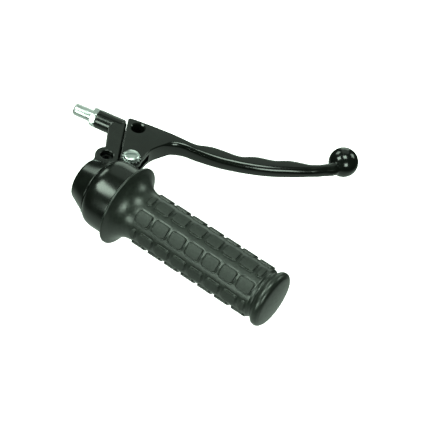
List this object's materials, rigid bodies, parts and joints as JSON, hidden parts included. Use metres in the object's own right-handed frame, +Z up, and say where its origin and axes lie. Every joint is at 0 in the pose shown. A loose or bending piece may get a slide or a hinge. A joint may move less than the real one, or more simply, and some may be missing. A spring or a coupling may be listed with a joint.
{
  "type": "motorcycle throttle grip with brake lever",
  "caption": "Twist throttle for a handlebar end: clamp body with brake lever perch, ball-end lever, cable adjusters and block-pattern rubber grip.",
  "frame": {"origin": "on the handlebar axis, at the inboard face of the clamp body", "axes": "+X outboard along the handlebar, +Y forward towards the lever, +Z up along the lever's pivot screw"},
  "size_m": [0.2003, 0.1754, 0.0658],
  "materials": {
    "black_casting": "satin black paint on die-cast aluminium",
    "black_lever": "gloss black paint on cast aluminium",
    "rubber": "moulded matt black rubber",
    "zinc": "bright zinc-plated steel",
    "black_steel": "black oxide on steel",
    "spring_steel": "plain spring steel",
    "nylon": "natural nylon",
    "tube_plastic": "black moulded nylon"
  },
  "bodies": {
    "housing": {"housing_body": "black_casting", "drum_cover": "black_casting", "cover_screw_1": "zinc", "cover_screw_2": "zinc", "clamp_screw": "black_steel", "clamp_washer": "zinc", "clamp_nut": "zinc", "thrust_washer": "nylon", "friction_spring": "spring_steel", "pivot_bush": "spring_steel", "pivot_washer": "zinc", "pivot_screw": "zinc", "pivot_nut": "zinc"},
    "throttle_roll": {"throttle_tube": "tube_plastic", "rubber_grip": "rubber"},
    "lever": {"brake_lever": "black_lever"},
    "brake_adjuster": {"brake_cable_adjuster": "zinc"},
    "brake_lock_nut": {"brake_adjuster_nut": "zinc"},
    "throttle_adjuster": {"throttle_cable_adjuster": "zinc"},
    "throttle_lock_nut": {"throttle_adjuster_nut": "zinc"}
  },
  "joints": [
    {"name": "throttle_twist", "type": "hinge", "parent": "housing", "child": "throttle_roll", "pos_m": [0, 0, 0], "axis": [1, 0, 0], "range_deg": [0, 75]},
    {"name": "lever_pull", "type": "hinge", "parent": "housing", "child": "lever", "pos_m": [0.0131, 0.031, 0], "axis": [0, 0, -1], "range_deg": [0, 30]},
    {"name": "brake_adjuster_travel", "type": "slide", "parent": "housing", "child": "brake_adjuster", "axis": [-0.9799, -0.1994, 0], "range_m": [0, 0.005]},
    {"name": "brake_lock_nut_turn", "type": "hinge", "parent": "housing", "child": "brake_lock_nut", "pos_m": [-0.011, 0.0539, 0], "axis": [-0.9799, -0.1994, 0], "range_deg": [0, 120]},
    {"name": "throttle_adjuster_travel", "type": "slide", "parent": "housing", "child": "throttle_adjuster", "axis": [0, 0, -1], "range_m": [0, 0.004]},
    {"name": "throttle_lock_nut_turn", "type": "hinge", "parent": "housing", "child": "throttle_lock_nut", "pos_m": [0.026, 0.0141, 0], "axis": [0, 0, -1], "range_deg": [0, 120]}
  ]
}
